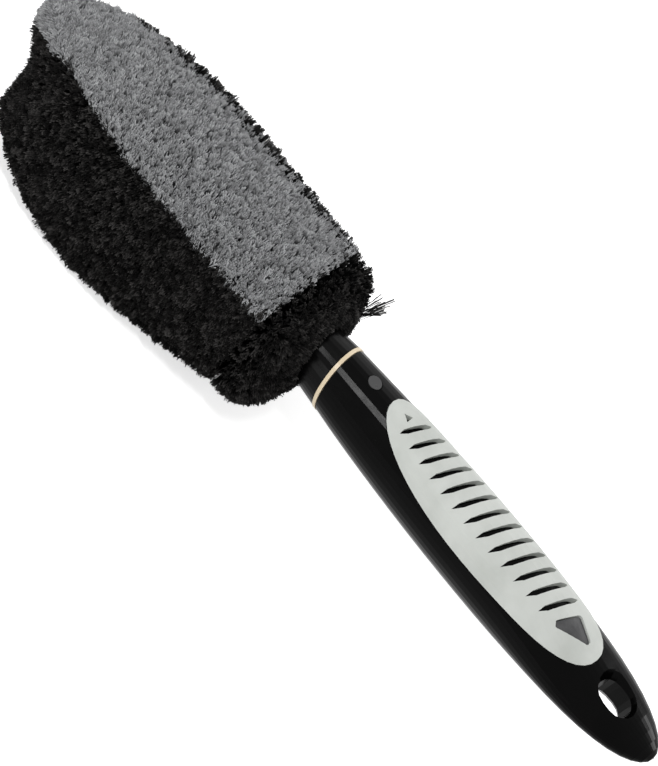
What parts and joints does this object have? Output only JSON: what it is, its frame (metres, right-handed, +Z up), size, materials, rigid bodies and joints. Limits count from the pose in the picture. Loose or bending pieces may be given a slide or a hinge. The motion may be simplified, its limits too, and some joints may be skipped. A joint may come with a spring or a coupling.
{
  "type": "wheel brush",
  "caption": "Hand brush for washing car wheels: a bristled head, grey on top and black round the sides and ends, on a gloss black handle with a soft grey grip pad and a hang hole.",
  "frame": {"origin": "under the middle of the brush's length and width, at the level of the lowest bristle tips", "axes": "+X along the handle from the head to the hanging end, +Z up out of the grip pad and the grey bristle face, +Y to the left of someone who looks from the head along +X"},
  "size_m": [0.3343, 0.0638, 0.0605],
  "materials": {
    "gloss_black": "high gloss moulded",
    "core_black": "matte moulded",
    "ring_cream": "satin moulded",
    "pad_grey": "soft matte",
    "badge_grey": "satin",
    "bristle_grey": "split fibre tips",
    "bristle_black": "split fibre tips",
    "screw_steel": "plated"
  },
  "bodies": {
    "root": {"bristles_bottom_row_1": "bristle_black", "bristles_bottom_row_2": "bristle_black", "bristles_bottom_row_3": "bristle_black", "bristles_bottom_row_4": "bristle_black", "bristles_bottom_row_5": "bristle_black", "bristles_heel": "bristle_black", "bristles_left_row_1": "bristle_black", "bristles_left_row_2": "bristle_black", "bristles_left_row_3": "bristle_black", "bristles_left_row_4": "bristle_black", "bristles_left_row_5": "bristle_black", "bristles_nose": "bristle_black", "bristles_right_row_1": "bristle_black", "bristles_right_row_2": "bristle_black", "bristles_right_row_3": "bristle_black", "bristles_right_row_4": "bristle_black", "bristles_right_row_5": "bristle_black", "bristles_top_row_1": "bristle_grey", "bristles_top_row_2": "bristle_grey", "bristles_top_row_3": "bristle_grey", "bristles_top_row_4": "bristle_grey", "bristles_top_row_5": "bristle_grey", "grip_badge": "badge_grey", "grip_pad": "pad_grey", "handle_shell": "gloss_black", "head_core": "core_black", "lock_plug": "gloss_black", "lock_screw": "screw_steel", "neck_collar": "gloss_black", "neck_ring": "ring_cream"}
  },
  "joints": []
}
